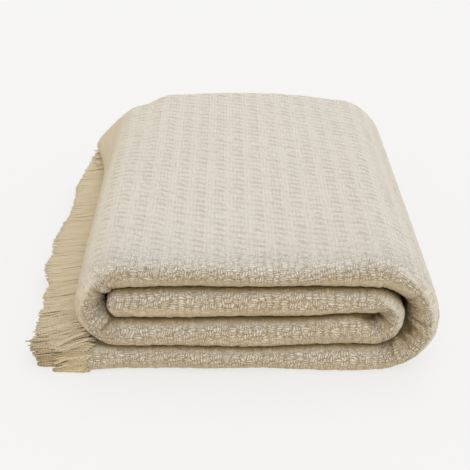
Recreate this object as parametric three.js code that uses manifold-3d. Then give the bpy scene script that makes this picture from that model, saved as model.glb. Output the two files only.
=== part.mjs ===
// A woven cotton bed throw with a fringed end. It is folded in half twice across its width, which makes
// a layer of four plies with one rounded nose, and the layer is then wound into a flat pile four layers
// high. Millimetres, +Z up: the noses of the folds face -Y, the fringe lies out to -X, and the underside
// is flat at z = 0. The origin is the bottom centre of the whole pile, fringe included.
import * as THREE from "three";
import Module from "manifold-3d";

const wasm = await Module();
wasm.setup();

// Driving sizes of the pile and its cloth
const pileWidth = 420; // from the left bend to the right bend
const pileDepth = 610; // from the noses to the back folds
const plyThickness = 7.6; // one ply of the thick ribbed weave
const plyGap = 1.4; // air between two plies
const plyPitch = plyThickness + plyGap;
const layerHalf = 2 * plyThickness + 1.5 * plyGap; // half of a layer of four plies

// Heights of the four layers' middle planes over the floor
const bottomHeight = layerHalf;
const thirdHeight = 52.8;
const secondHeight = 90;
const topHeight = 126.2;

// The winding: how far each bend's middle plane swings out, and the room left between the rolls
const outerReach = 53;
const leftReach = 36;
const innerReach = 20;
const rollRoom = 4.4; // between the inner roll and the outer one that goes round it
const tuckRoom = 2.9; // between the tucked end and the left bend that holds it
const tuckRound = 17; // length over which the tucked end closes to a round edge
const tuckLeast = 0.3; // share of the layer's thickness left at that edge
const rightX = pileWidth - layerHalf - outerReach;
const leftX = leftReach + layerHalf;
const innerX = rightX + outerReach - innerReach - rollRoom - 2 * layerHalf;
const tuckX = leftX - leftReach + layerHalf + tuckRoom;
const hemX = 11; // the fringed end of the bottom layer

// The folds across the width
const noseDepth = layerHalf; // the nose is a half round of the layer's own thickness
const backDepth = pileDepth - plyPitch / 2 - plyThickness / 2;
const selvedgeDepth = pileDepth - 6; // the two free edges stop a little short of the back fold

// The ribs of the weave run over the pile from front to back
const ribPitch = 24.6;
const ribRise = 1.2;

// The pile's uneven settling
const topSwell = 0.012; // share by which its height rises and falls across
const swellLength = 48; // across the pile, for one radian of that swell
const rightFlare = 6; // the right bend opens out towards the front
const leftTuck = { shift: 5, across: 60, depth: 150 }; // the left bend is drawn in towards its nose
const slump = { reach: 200, from: 0.5, spread: 46, low: 0.72, power: 3 }; // the back left corner bulges
const noseTuck = { shift: 8, height: 16 }; // the bottom nose lies further back along its middle
// The inner half of a bend is set back from its nose
const bendRecess = { shift: 22, depth: 90, from: 0.4, round: 1.3, ramp: 25 };

// How much higher the back edge of the top lies than the front, across the pile
const crownRows = [
  { across: 0, rise: -9 },
  { across: 40, rise: -9 },
  { across: 90, rise: 8 },
  { across: 160, rise: 9 },
  { across: 230, rise: 7 },
  { across: 290, rise: 4 },
  { across: 350, rise: -2 },
  { across: 420, rise: -7 },
];

// Where the gap between two layers runs higher at the noses: its place, its reach each way and its rise
const gapLifts = [
  { across: 235, up: 110, reach: 105, height: 15, depth: 80, rise: 8 },
  { across: 325, up: 71, reach: 60, height: 15, depth: 80, rise: 8 },
];

// The noses and the back edges wander in and out. Each row gives how far, and the lengths across and up
// the pile that go with one radian of the wave
const noseWaves = [
  { rise: 2.6, across: 58, up: 17 },
  { rise: 1.6, across: 27, up: -12 },
];
const backWave = { rise: 2, across: 66, up: -14 };

// The fringe
const seamGap = 0.3; // between the hem and the fringe's woven heading
const headingWidth = 7;
const strandWidth = 5.6;
const strandHeight = 3;
const strandLift = 8.6; // each ply's strands come to rest this far over those of the ply below
const strandRoot = 3; // how far a strand runs into the heading
const strandSway = 1.5; // how far a tip strays to either side
const strandShare = 0.94; // the usual strand's share of the full reach
const strandSpread = 0.11; // and how much longer or shorter one may be
const fringeEnd = 4; // the last strand stops this far short of the selvedge

// How far the strands reach past the heading, from the noses to the back
const strandReach = [
  { depth: 0, reach: 63 },
  { depth: 60, reach: 64 },
  { depth: 120, reach: 61 },
  { depth: 200, reach: 64 },
  { depth: 260, reach: 72 },
  { depth: 310, reach: 72 },
  { depth: 370, reach: 66 },
  { depth: 430, reach: 61 },
  { depth: 480, reach: 50 },
  { depth: 530, reach: 48 },
  { depth: 604, reach: 32 },
];

// Repeatable unevenness between -0.5 and 0.5 for one strand
function jitter(index, salt) {
  const wave = Math.sin(index * 12.9898 + salt * 78.233) * 43758.5453;
  return wave - Math.floor(wave) - 0.5;
}

// A value read from rows of places and values, with soft steps between the rows
function eased(place, rows, across, value) {
  let total = rows[0][value];
  for (let index = 1; index < rows.length; index++) {
    const [before, after] = [rows[index - 1], rows[index]];
    const share = THREE.MathUtils.smoothstep(place, before[across], after[across]);
    total += (after[value] - before[value]) * share;
  }
  return total;
}

function run(fromX, toX, height) {
  return new THREE.LineCurve(new THREE.Vector2(fromX, height), new THREE.Vector2(toX, height));
}

// A bend from one layer's height to another's, to the right for a positive reach, else to the left
function bend(x, reach, fromHeight, toHeight) {
  const start = reach > 0 ? -Math.PI / 2 : Math.PI / 2;
  const middle = (fromHeight + toHeight) / 2;
  const rise = Math.abs(toHeight - fromHeight) / 2;
  return new THREE.EllipseCurve(x, middle, Math.abs(reach), rise, start, start + Math.PI);
}

function ribSteps(curve) {
  return 2 * Math.round(curve.getLength() / ribPitch);
}

// The route of the layer's middle plane, seen from the front, from the hem to the tucked end
const outerBend = bend(rightX, outerReach, bottomHeight, topHeight);
const topRun = run(rightX, leftX, topHeight);
const leftBend = bend(leftX, -leftReach, topHeight, thirdHeight);
const route = [
  { curve: run(hemX, rightX, bottomHeight), steps: 8 },
  { curve: outerBend, steps: ribSteps(outerBend), ribbed: true, bent: true },
  { curve: topRun, steps: ribSteps(topRun), ribbed: true },
  { curve: leftBend, steps: ribSteps(leftBend), ribbed: true, bent: true },
  { curve: run(leftX, innerX, thirdHeight), steps: 8 },
  { curve: bend(innerX, innerReach, thirdHeight, secondHeight), steps: 8, bent: true },
  { curve: run(innerX, tuckX + tuckRound, secondHeight), steps: 8 },
  { curve: run(tuckX + tuckRound, tuckX, secondHeight), steps: 4, closing: true },
];

// How far a place on a bend is into it: none past its ends, one in its middle
function bendShare(length, share) {
  const fromEnd = Math.min(share, 1 - share) * length;
  return THREE.MathUtils.smoothstep(fromEnd, -bendRecess.ramp / 2, bendRecess.ramp);
}

// Stations along the route: a point, the direction out of the winding, the rib's rise, the share of the
// thickness that is left, and how far into a bend it is
function routeStations(rows) {
  const stations = [];
  for (const row of rows) {
    const length = row.curve.getLength();
    for (let step = stations.length ? 1 : 0; step <= row.steps; step++) {
      const share = step / row.steps;
      const point = row.curve.getPoint(share);
      const along = row.curve.getTangent(share);
      stations.push({
        point,
        outward: new THREE.Vector2(along.y, -along.x),
        rise: row.ribbed && step % 2 === 1 && along.x < 0.5 ? ribRise : 0,
        thickness: row.closing ? Math.sqrt(1 - (1 - tuckLeast ** 2) * share ** 2) : 1,
        bent: row.bent ? bendShare(length, share) : 0,
      });
    }
  }
  return stations;
}

function ply(offset, fromDepth, toDepth) {
  return new THREE.LineCurve(new THREE.Vector2(offset, fromDepth), new THREE.Vector2(offset, toDepth));
}

function fold(offset, depth, radius, fromAngle, toAngle) {
  const clockwise = toAngle < fromAngle;
  return new THREE.EllipseCurve(offset, depth, radius, radius, fromAngle, toAngle, clockwise);
}

// The four plies and three folds of a layer, seen along the route, from one selvedge to the other:
// across is the offset out of the winding, up the page is the depth from the noses to the back
const outerPly = 1.5 * plyPitch;
const innerPly = 0.5 * plyPitch;
const nearDepth = noseDepth + 80; // up to here the noses settle most
const farSteps = 3; // every ply takes the same steps from there to the back, so that none meets the next
const layerFolds = [
  { curve: ply(-outerPly, selvedgeDepth, nearDepth), steps: farSteps, shows: false },
  { curve: ply(-outerPly, nearDepth, noseDepth), steps: 1, shows: false },
  { curve: fold(0, noseDepth, outerPly, Math.PI, 2 * Math.PI), steps: 8, shows: true },
  { curve: ply(outerPly, noseDepth, nearDepth), steps: 1, shows: true },
  { curve: ply(outerPly, nearDepth, backDepth), steps: farSteps, shows: true },
  { curve: fold(plyPitch, backDepth, innerPly, 0, Math.PI), steps: 4, shows: false },
  { curve: ply(innerPly, backDepth, nearDepth), steps: farSteps, shows: false },
  { curve: ply(innerPly, nearDepth, noseDepth), steps: 1, shows: false },
  { curve: fold(0, noseDepth, innerPly, 0, -Math.PI), steps: 4, shows: false },
  { curve: ply(-innerPly, noseDepth, nearDepth), steps: 1, shows: false },
  { curve: ply(-innerPly, nearDepth, selvedgeDepth), steps: farSteps, shows: false },
];

// Points of both faces of the cloth along the section, the outer face first
function sectionFaces(rows) {
  const outer = [];
  const inner = [];
  for (const row of rows) {
    for (let step = outer.length ? 1 : 0; step <= row.steps; step++) {
      const share = step / row.steps;
      const middle = row.curve.getPoint(share);
      const along = row.curve.getTangent(share);
      const out = new THREE.Vector2(along.y, -along.x);
      const ribbed = row.shows && middle.x > 0;
      outer.push({ at: middle.clone().addScaledVector(out, plyThickness / 2), out, ribbed });
      inner.push({ at: middle.clone().addScaledVector(out, -plyThickness / 2), out, ribbed: false });
    }
  }
  return { outer, inner };
}

// The pile settles unevenly: the noses in and out, the right bend wider at the front, the back left corner
// out and low, and the gaps between the layers higher in places
function settle(point) {
  const { x, y, z } = point;
  const { clamp } = THREE.MathUtils;
  const back = clamp(y / pileDepth, 0, 1);
  const height = clamp(z / (topHeight + layerHalf), 0, 1);
  const towardsBack = clamp((back - slump.from) / (1 - slump.from), 0, 1) ** 2;
  const corner = towardsBack * clamp(1 - x / slump.reach, 0, 1);
  const swell = topSwell * Math.sin(x / swellLength) * Math.cos(Math.PI * back);
  const wave = (row) => row.rise * Math.sin(x / row.across + z / row.up);
  const tucked = noseTuck.shift * Math.sin(Math.PI * clamp(x / pileWidth, 0, 1));
  const tuckedLow = tucked * Math.exp(-((z / noseTuck.height) ** 2));
  const frontShift = noseWaves.reduce((sum, row) => sum + wave(row), tuckedLow);
  const backShift = wave(backWave) - backWave.rise;
  const drawnIn = leftTuck.shift * height * Math.exp(-((x / leftTuck.across) ** 2) - y / leftTuck.depth);
  const bulge = slump.spread * corner * Math.sin(Math.PI * height ** slump.low) ** slump.power;
  let lift = eased(x, crownRows, "across", "rise") * back ** 2 * height;
  for (const row of gapLifts) {
    const off = ((x - row.across) / row.reach) ** 2 + ((z - row.up) / row.height) ** 2;
    lift += row.rise * Math.exp(-off - y / row.depth);
  }
  point.x += rightFlare * (x / pileWidth) * (1 - back) + drawnIn - bulge;
  point.y += frontShift * (1 - back) + backShift * back;
  point.z += z * swell + lift;
  return point;
}

// A closed geometry from rings of points: the sides between rings, and the end rings filled in as the
// strip between their two halves. Each side cell is cut from its nearer corner on one ring to its farther
// one on the next, so that plies that face each other stay parallel
function closedLoft(rings) {
  const size = rings[0].length;
  const last = (rings.length - 1) * size;
  const points = rings.flat();
  const positions = points.flatMap((point) => point.toArray());
  const triangles = [];
  for (let ring = 0; ring < last; ring += size) {
    for (let corner = 0; corner < size; corner++) {
      const next = (corner + 1) % size;
      const cell = [ring + corner, ring + next, ring + size + next, ring + size + corner];
      const [a, b, c, d] = points[cell[1]].y > points[cell[0]].y ? cell : [...cell.slice(1), cell[0]];
      triangles.push(a, b, c, a, c, d);
    }
  }
  for (let corner = 0; corner < size / 2 - 1; corner++) {
    const far = size - 1 - corner;
    triangles.push(corner, far, corner + 1);
    triangles.push(last + corner, last + corner + 1, last + far);
    if (far - 1 > corner + 1) {
      triangles.push(corner + 1, far, far - 1);
      triangles.push(last + corner + 1, last + far - 1, last + far);
    }
  }
  const geometry = new THREE.BufferGeometry();
  geometry.setAttribute("position", new THREE.Float32BufferAttribute(positions, 3));
  geometry.setIndex(triangles);
  return geometry;
}

// The cloth between stations: the section's outline at each one
function sweptCloth(stations, section) {
  const rings = stations.map((station) => {
    const place = (side) => {
      const rise = side.ribbed ? station.rise : 0;
      const offset = (side.at.x + side.out.x * rise) * station.thickness;
      const drawnIn = (1 - station.thickness) * layerHalf;
      const inner = Math.max(bendRecess.from - offset / layerHalf, 0) / (1 + bendRecess.from);
      const setBack = bendRecess.shift * station.bent * inner ** bendRecess.round;
      const depth = side.at.y + side.out.y * rise + drawnIn * (1 - side.at.y / pileDepth)
        + setBack * Math.exp(-side.at.y / bendRecess.depth);
      const x = station.point.x + station.outward.x * offset;
      const z = station.point.y + station.outward.y * offset;
      return new THREE.Vector3(x, depth, z);
    };
    return [...section.outer.map(place), ...section.inner.map(place).reverse()];
  });
  return closedLoft(rings);
}

// One strand as a tapering run of three-sided sections, flat side down
function strand(root, tip) {
  const waypoints = [
    { share: 0, drop: 0, width: 0.8 },
    { share: 0.24, drop: 0.5, width: 1 },
    { share: 0.5, drop: 1, width: 0.95 },
    { share: 1, drop: 1, width: 0.55 },
  ];
  const rings = waypoints.map((way) => {
    const x = THREE.MathUtils.lerp(root.x, tip.x, way.share);
    const y = THREE.MathUtils.lerp(root.y, tip.y, way.share ** 1.5);
    const z = THREE.MathUtils.lerp(root.z, tip.z, way.drop);
    const half = (strandWidth / 2) * way.width;
    return [
      new THREE.Vector3(x, y - half, z),
      new THREE.Vector3(x, y, z + strandHeight * way.width),
      new THREE.Vector3(x, y + half, z),
    ];
  });
  return closedLoft(rings);
}

// Rows of strands: the plies of the bottom layer from the floor up, and the nose at the front
const fringeRows = [
  { height: bottomHeight - outerPly, rank: 0, count: 56, front: noseDepth + 6 },
  { height: bottomHeight - innerPly, rank: 1, count: 34, front: noseDepth + 9 },
  { height: bottomHeight + innerPly, rank: 2, count: 34, front: noseDepth + 5 },
  { height: bottomHeight + outerPly, rank: 3, count: 60, front: noseDepth + 3 },
];
const noseStrands = [
  { angle: -62, reach: 0.62, rank: 0 },
  { angle: -22, reach: 0.55, rank: 1 },
  { angle: 20, reach: 0.66, rank: 2 },
  { angle: 58, reach: 0.8, rank: 3 },
];

function toSolid(geometry) {
  const vertProperties = new Float32Array(geometry.attributes.position.array);
  const triVerts = new Uint32Array(geometry.index.array);
  return new wasm.Manifold(new wasm.Mesh({ numProp: 3, vertProperties, triVerts }));
}

function toGeometry(solid) {
  const mesh = solid.getMesh();
  const geometry = new THREE.BufferGeometry();
  geometry.setAttribute("position", new THREE.BufferAttribute(mesh.vertProperties, 3));
  geometry.setIndex(new THREE.BufferAttribute(mesh.triVerts, 1));
  return geometry;
}

function settled(geometry) {
  const position = geometry.attributes.position;
  const point = new THREE.Vector3();
  for (let index = 0; index < position.count; index++) {
    settle(point.fromBufferAttribute(position, index));
    position.setXYZ(index, point.x, point.y, point.z);
  }
  return geometry;
}

function fringeSolid(section) {
  const hemEdge = hemX - seamGap;
  const heading = { curve: run(hemEdge - headingWidth, hemEdge, bottomHeight), steps: 1 };
  let solid = toSolid(settled(sweptCloth(routeStations([heading]), section)));
  const rootX = hemEdge - headingWidth + strandRoot;
  for (const row of fringeRows) {
    const pitch = (selvedgeDepth - fringeEnd - row.front) / row.count;
    for (let index = 0; index < row.count; index++) {
      const salt = row.rank + 1;
      const y = row.front + pitch * (index + 0.5);
      const usual = eased(y, strandReach, "depth", "reach");
      const reach = usual * (strandShare + 2 * strandSpread * jitter(index, salt));
      const sway = 2 * strandSway * jitter(index, salt + 10);
      const root = new THREE.Vector3(rootX, y, row.height - strandHeight / 2);
      const tip = new THREE.Vector3(rootX - strandRoot - reach, y + sway, row.rank * strandLift);
      solid = solid.add(toSolid(settled(strand(root, tip))));
    }
  }
  for (const row of noseStrands) {
    const angle = THREE.MathUtils.degToRad(row.angle);
    const y = noseDepth - outerPly * Math.cos(angle);
    const z = bottomHeight + outerPly * Math.sin(angle) - strandHeight / 2;
    const root = new THREE.Vector3(rootX, y, z);
    const reach = strandReach[0].reach * row.reach;
    const tip = new THREE.Vector3(rootX - strandRoot - reach, y - 2, row.rank * strandLift);
    solid = solid.add(toSolid(settled(strand(root, tip))));
  }
  return toGeometry(solid);
}

const section = sectionFaces(layerFolds);

const clothMaterial = new THREE.MeshStandardMaterial({ color: 0xd9d0bf, roughness: 0.95, metalness: 0 });
const cloth = new THREE.Mesh(settled(sweptCloth(routeStations(route), section)), clothMaterial);
cloth.name = "cloth";

const fringeMaterial = new THREE.MeshStandardMaterial({ color: 0xd2c4a6, roughness: 0.95, metalness: 0 });
const fringe = new THREE.Mesh(fringeSolid(section), fringeMaterial);
fringe.name = "fringe";

const pile = new THREE.Group();
pile.add(cloth, fringe);
const box = new THREE.Box3().setFromObject(pile);
const centre = box.getCenter(new THREE.Vector3());
pile.position.set(-centre.x, -centre.y, -box.min.z);

const throwBlanket = new THREE.Group();
throwBlanket.add(pile);

export default throwBlanket;
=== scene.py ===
import math

import bpy
import numpy as np
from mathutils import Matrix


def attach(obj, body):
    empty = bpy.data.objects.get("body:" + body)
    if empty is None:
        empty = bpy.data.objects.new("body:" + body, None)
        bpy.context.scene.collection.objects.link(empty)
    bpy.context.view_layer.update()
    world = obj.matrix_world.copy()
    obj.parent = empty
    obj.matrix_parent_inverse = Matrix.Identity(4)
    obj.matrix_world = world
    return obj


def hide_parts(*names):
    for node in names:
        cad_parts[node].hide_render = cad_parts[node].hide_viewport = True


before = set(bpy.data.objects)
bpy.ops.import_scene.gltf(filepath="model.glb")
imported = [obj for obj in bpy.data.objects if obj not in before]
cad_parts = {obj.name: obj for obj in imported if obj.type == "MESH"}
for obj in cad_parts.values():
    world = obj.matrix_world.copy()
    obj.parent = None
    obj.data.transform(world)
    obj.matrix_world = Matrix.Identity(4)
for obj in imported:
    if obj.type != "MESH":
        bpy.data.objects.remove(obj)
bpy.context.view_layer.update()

mm = 0.001

# The folded pile in millimetres: x from the left bend, y from the noses, z from the floor
pile = {
    "width": 420, "depth": 610,
    "ply": 7.6, "gap": 1.4,  # one thickness of cloth, and the air between two
    "third": 52.8, "second": 90, "top": 126.2,  # middle heights of the layers over the bottom one
    "outerReach": 53, "leftReach": 36, "innerReach": 20,  # how far the bends go past the straight layers
    "rollRoom": 4.4, "tuckRoom": 2.9,  # air outside the inner bend, and beyond the tucked end
    "tuckRound": 12, "tuckLeast": 0.4,  # the tucked end thins to this share over this length
    "hem": 11, "selvedge": 604,
    "originX": 177.525, "originY": 302.996,  # the part's origin
}
hem, selvedge = pile["hem"], pile["selvedge"]
layerHalf = 2 * pile["ply"] + 1.5 * pile["gap"]
plyPitch = pile["ply"] + pile["gap"]
rightX = pile["width"] - layerHalf - pile["outerReach"]
leftX = pile["leftReach"] + layerHalf
innerX = rightX + pile["outerReach"] - pile["innerReach"] - pile["rollRoom"] - 2 * layerHalf
tuckX = leftX - pile["leftReach"] + layerHalf + pile["tuckRoom"]
backDepth = pile["depth"] - plyPitch / 2 - pile["ply"] / 2

# How the pile has settled, close to the solids
sag = {
    "swell": 0.012, "swellLength": 48, "flare": 6,
    "slumpReach": 200, "slumpFrom": 0.5, "slumpSpread": 46,  # the back left corner bulges
    "slumpLow": 0.68, "slumpPower": 2.5,
    "leftTuck": 5, "leftReach": 60, "leftDepth": 150,  # the left bend is drawn in towards its nose
    "noses": [(2.6, 58, 17), (1.6, 27, -12)], "back": (2, 66, -14),  # waves: rise, length across, length up
    "crown": [  # place across, and how much higher the back edge lies there
        (0, -9), (40, -9), (90, 8), (160, 9), (230, 7), (290, 4), (350, -2), (420, -7),
    ],
    "gapLifts": [  # place across and up, reach across and up, rise of the gap between two layers
        (235, 110, 105, 15, 8), (325, 71, 60, 15, 8),
    ],
    "gapReach": 80,
    "tuckBack": 8, "tuckHeight": 16,  # the bottom nose lies further back along its middle
}


def smooth(low, high, value):
    share = np.clip((value - low) / (high - low), 0, 1)
    return share * share * (3 - 2 * share)


# 1 between two stretches, over which it comes in and goes out
def span(value, rise, fall):
    return smooth(*rise, value) * (1 - smooth(*fall, value))


# A share of the way from the first value of a pair to the second
def blend(pair, share):
    return pair[0] + (pair[1] - pair[0]) * share


# Rows of place and value, joined by soft steps
def eased(value, rows):
    total = np.full_like(value, rows[0][1])
    for (low, before), (high, after) in zip(rows[:-1], rows[1:]):
        total += (after - before) * smooth(low, high, value)
    return total


# A steady chance value from 0 to 1 for each pair of numbers
def hashed(first, second=0.0):
    wave = np.sin(first * 12.9898 + second * 78.233) * 43758.5453
    return wave - np.floor(wave)


# Soft lumps from -1 to 1, one to each unit square
def lumps(x, y):
    left, low = np.floor(x), np.floor(y)
    right, high = smooth(0, 1, x - left), smooth(0, 1, y - low)
    under = hashed(left, low) * (1 - right) + hashed(left + 1, low) * right
    over = hashed(left, low + 1) * (1 - right) + hashed(left + 1, low + 1) * right
    return 2 * (under * (1 - high) + over * high) - 1


class Line:
    # a traced line of named stretches, read at any length along it
    def __init__(self, **stretches):
        parts = list(stretches.values())
        self.points = np.concatenate([parts[0]] + [part[1:] for part in parts[1:]])
        steps = np.linalg.norm(np.diff(self.points, axis=0), axis=1)
        self.length = np.concatenate([[0], np.cumsum(steps)])
        starts = self.length[np.cumsum([0] + [len(part) - 1 for part in parts])]
        self.at = dict(zip([*stretches, "end"], starts))  # length at which each stretch starts
        way = np.gradient(self.points, self.length, axis=0)
        way /= np.linalg.norm(way, axis=1, keepdims=True)
        self.out = np.stack([way[:, 1], -way[:, 0]], 1)
        self.turn = np.unwrap(np.arctan2(way[:, 1], way[:, 0]))
        self.turn -= self.turn[0]

    def read(self, values, length):
        if values.ndim == 1:
            return np.interp(length, self.length, values)
        return [np.interp(length, self.length, column) for column in values.T]


def straight(start, end, step=0.5):
    count = max(2, int(math.dist(start, end) / step))
    return np.linspace(start, end, count)


def arc(centre, radii, fromDeg, toDeg, count=160):
    turn = np.radians(np.linspace(fromDeg, toDeg, count))
    return np.stack([centre[0] + radii[0] * np.cos(turn), centre[1] + radii[1] * np.sin(turn)], 1)


def bend(x, reach, low, high, fromDeg):
    return arc((x, (low + high) / 2), (reach, (high - low) / 2), fromDeg, fromDeg + 180)


# The middle of the layer, seen from the front, from the hem to the tucked end
def routeLine():
    low, third, second, top = layerHalf, pile["third"], pile["second"], pile["top"]
    return Line(
        bottom=straight((hem, low), (rightX, low)),
        outerBend=bend(rightX, pile["outerReach"], low, top, -90),
        top=straight((rightX, top), (leftX, top)),
        leftBend=bend(leftX, pile["leftReach"], third, top, 90),
        third=straight((leftX, third), (innerX, third)),
        innerBend=bend(innerX, pile["innerReach"], third, second, -90),
        second=straight((innerX, second), (tuckX, second)),
    )


# The cloth inside a layer, from one selvedge to the other: offset from the layer's middle, and depth
def sectionLine():
    outer, inner, nose = 1.5 * plyPitch, 0.5 * plyPitch, layerHalf
    return Line(
        inFace=straight((-outer, selvedge), (-outer, nose)),
        nose=arc((0, nose), (outer, outer), 180, 360),
        outFace=straight((outer, nose), (outer, backDepth)),
        backFold=arc((plyPitch, backDepth), (inner, inner), 0, 180),
        outPly=straight((inner, backDepth), (inner, nose)),
        innerNose=arc((0, nose), (inner, inner), 0, -180),
        inPly=straight((-inner, nose), (-inner, selvedge)),
    )


route = routeLine()
section = sectionLine()
# lengths at which stretches start
outerAt, thirdAt, innerAt = (route.at[name] for name in ("outerBend", "third", "innerBend"))
noseAt, faceAt, foldAt, hiddenAt = (section.at[name] for name in ("nose", "outFace", "backFold", "outPly"))
# the weave keeps its pitch on the outer face, so its places run on at the outer face's own length
routeWeave = route.length + layerHalf * route.turn
sectionWeave = section.length + pile["ply"] / 2 * np.maximum.accumulate(section.turn)


def settle(points):
    x, y, z = points.astype(float).T
    back = np.clip(y / pile["depth"], 0, 1)
    slump = np.clip((back - sag["slumpFrom"]) / (1 - sag["slumpFrom"]), 0, 1) ** 2
    slump = slump * np.clip(1 - x / sag["slumpReach"], 0, 1)
    height = np.clip(z / (pile["top"] + layerHalf), 0, 1)
    swell = sag["swell"] * np.sin(x / sag["swellLength"]) * np.cos(np.pi * back)

    def wave(rise, across, up):
        return rise * np.sin(x / across + z / up)

    front = sum(wave(*row) for row in sag["noses"])
    behind = wave(*sag["back"]) - sag["back"][0]
    lift = eased(x, sag["crown"]) * back ** 2 * height
    for across, up, wide, tall, rise in sag["gapLifts"]:
        inGap = np.exp(-((x - across) / wide) ** 2 - ((z - up) / tall) ** 2)
        lift = lift + rise * inGap * np.exp(-y / sag["gapReach"])
    tuck = sag["tuckBack"] * np.sin(np.pi * np.clip(x / pile["width"], 0, 1))
    tuck = tuck * np.exp(-(z / sag["tuckHeight"]) ** 2)
    spread = sag["flare"] * (x / pile["width"]) * (1 - back)
    bulge = np.sin(np.pi * height ** sag["slumpLow"]) ** sag["slumpPower"]
    spread -= sag["slumpSpread"] * slump * bulge
    spread += sag["leftTuck"] * np.exp(-(x / sag["leftReach"]) ** 2 - y / sag["leftDepth"]) * height
    return np.stack([
        x + spread,
        y + (front + tuck) * (1 - back) + behind * back,
        z * (1 + swell) + lift,
    ], 1)


def toPart(points):
    return (points - (pile["originX"], pile["originY"], 0)) * mm


weave = {
    "rib": 24.2, "rung": 14.6,  # pitch across the cloth and along it
    "ribShare": 0.54, "ribRise": 0.9, "rungRise": 0.9,
    "ribRound": 0.5, "rungRound": 0.4,  # powers that flatten their crests
    "lean": -0.35, "shift": 0.37,  # slope of the rungs, and the step from one column to the next
    "uneven": 0.35, "knot": 0.25,  # how much the rungs and the ribs vary in height
    "lump": 0.9, "lumpSize": 7.5,  # uneven yarn on the noses
}


# Raised ribs and rungs of the weave at a place on the cloth
def weaveRise(across, along):
    column = np.floor(across / weave["rib"])
    share = across / weave["rib"] - column
    ribShare = weave["ribShare"]
    rib = np.sin(np.pi * np.clip(share / ribShare, 0, 1)) ** weave["ribRound"]
    inRung = np.clip((share - ribShare) / (1 - ribShare), 0, 1)
    start = along / weave["rung"] + weave["shift"] * column
    turn = start + weave["lean"] * inRung
    rung = (0.5 - 0.5 * np.cos(2 * np.pi * turn)) ** weave["rungRound"]
    rung = rung * np.sin(np.pi * inRung) ** weave["rungRound"]
    loose = 1 + weave["uneven"] * (hashed(column, np.floor(turn)) - 0.5)
    knot = 1 - weave["knot"] - weave["knot"] * np.cos(2 * np.pi * (start + 0.5))
    return weave["ribRise"] * rib * knot + weave["rungRise"] * rung * loose


# Wrinkles and soft troughs, listed one by one: millimetres past the start of a stretch of the route,
# millimetres past the inner edge of the nose, then lean in degrees, depth, half width and half length
creases = {
    "outerBend": [
        (22, 13, -18, 3.6, 2.8, 13), (43, 8, 14, 5.6, 4.0, 12), (57, 3, 0, 10.0, 7.0, 10),
        (66, 12, -14, 4.0, 3.4, 12), (77, 15, 6, 4.2, 2.6, 15), (97, 10, -10, 2.4, 3.0, 12),
        (114, 13, 28, 3.2, 2.6, 11),
    ],
    "leftBend": [
        (18, 9, 16, 2.2, 3.0, 11), (37, 11, -24, 4.6, 3.4, 13), (58, 8, 10, 2.6, 3.4, 11),
        (92, 14, -12, 5.0, 2.6, 11),
    ],
    "innerBend": [(-1, 3, 0, 7.5, 12, 9), (20, 6, 8, 6.5, 5, 14), (40, 9, -10, 2.2, 2.6, 10)],
    "top": [(210, 130, 62, 1.6, 16, 70), (70, 330, 20, 1.4, 20, 110), (250, 420, -24, 1.6, 22, 90)],
}


def creaseDepth(s, t):
    total = np.zeros_like(s)
    for stretch, rows in creases.items():
        for past, over, lean, deep, wide, long in rows:
            ds = s - route.at[stretch] - past
            dt = t - noseAt - over
            turn = math.radians(lean)
            across = (ds * math.cos(turn) - dt * math.sin(turn)) / wide
            along = (ds * math.sin(turn) + dt * math.cos(turn)) / long
            total += deep * np.exp(-across ** 2 - along ** 2)
    return total


# Share of the way round the nose, from its inner edge to its outer one
def noseTurn(t):
    return np.clip((t - noseAt) / (faceAt - noseAt), 0, 1)


# 1 along the middle of the nose, and 0 at its edges
def noseCrown(t):
    return np.sin(np.pi * noseTurn(t)) ** 0.5


# How far the weave's relief shows: full on the noses, on the top and on the bends round it
relief = {
    "outer": (12, 45), "third": 12,  # it comes in on the outer bend, and goes out before the third layer
    "nose": 26,  # past the inner edge of the nose
    "inward": 0.5, "inwardFrom": 70, "inwardTo": 5,  # share on the inward face, and how far behind the nose
    "rolled": 30,  # the inward face shows it from the outer bend on
}


def shownRelief(s, t):
    inward = relief["inward"] * smooth(noseAt - relief["inwardFrom"], noseAt - relief["inwardTo"], t)
    inward = inward * span(s, (outerAt, outerAt + relief["rolled"]), (innerAt, route.at["second"]))
    face = span(t, (noseAt + relief["nose"], faceAt), (foldAt, hiddenAt))
    comesIn = [outerAt + past for past in relief["outer"]]
    face = face * span(s, comesIn, (thirdAt - relief["third"], thirdAt))
    return np.where(t < noseAt, inward, np.maximum(noseCrown(t), face))


# The drawn-in bends, the noses and the edges
clothForm = {
    "recesses": [  # the inner half of the nose is drawn back at the bends, with painted shade there
        {"at": "outerBend", "past": 66, "half": 56, "deep": 22, "toneAndPaintedShade": 0.85},
        {"at": "leftBend", "past": 58, "half": 24, "deep": 18, "toneAndPaintedShade": 0.35},
        {"at": "innerBend", "past": 20, "half": 27, "deep": 18, "toneAndPaintedShade": 0.7},
    ],
    "recessReach": 90, "recessFrom": 0.4, "recessPower": 1.3,  # fades behind the nose and across it
    "paintedShadeFade": (0.2, 0.65),  # shares of the way round the nose
    "pinch": 0.05, "pinchReach": 25,  # the noses are a little thinner than the layers behind them
    "edgeLeast": 0.02, "backTrough": 0.8,  # round selvedges, and a crease's share on the other side
    "floorGap": 0.05,
}


# A value of the drawn-in bends, fading out at their ends
def recessed(s, value):
    total = np.zeros_like(s)
    for row in clothForm["recesses"]:
        total += row[value] * np.exp(-((s - route.at[row["at"]] - row["past"]) / row["half"]) ** 4)
    return total


# Painted shade on the drawn-in inner half of a bend's nose, by how much a place is on it
def innerBend(s, t):
    return recessed(s, "toneAndPaintedShade") * (1 - smooth(*clothForm["paintedShadeFade"], noseTurn(t)))


# Painted shade in the folds: how deep in a fold a place lies, from 0 in the open to 1 inside; pairs are
# shares of the way round the nose, plain and on a side that faces up
folds = {
    "inner": (0.1, 0.36), "outer": (0.9, 0.64),
    "openFrom": (12, 60), "openTo": 40,  # the roll's outside is open from outer bend to third layer
    "leftLight": 0.6, "leftReach": (10, 50),  # less shade where light comes in under the left bend
    "crease": 0.12,  # painted shade for each millimetre of a crease
}


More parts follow.
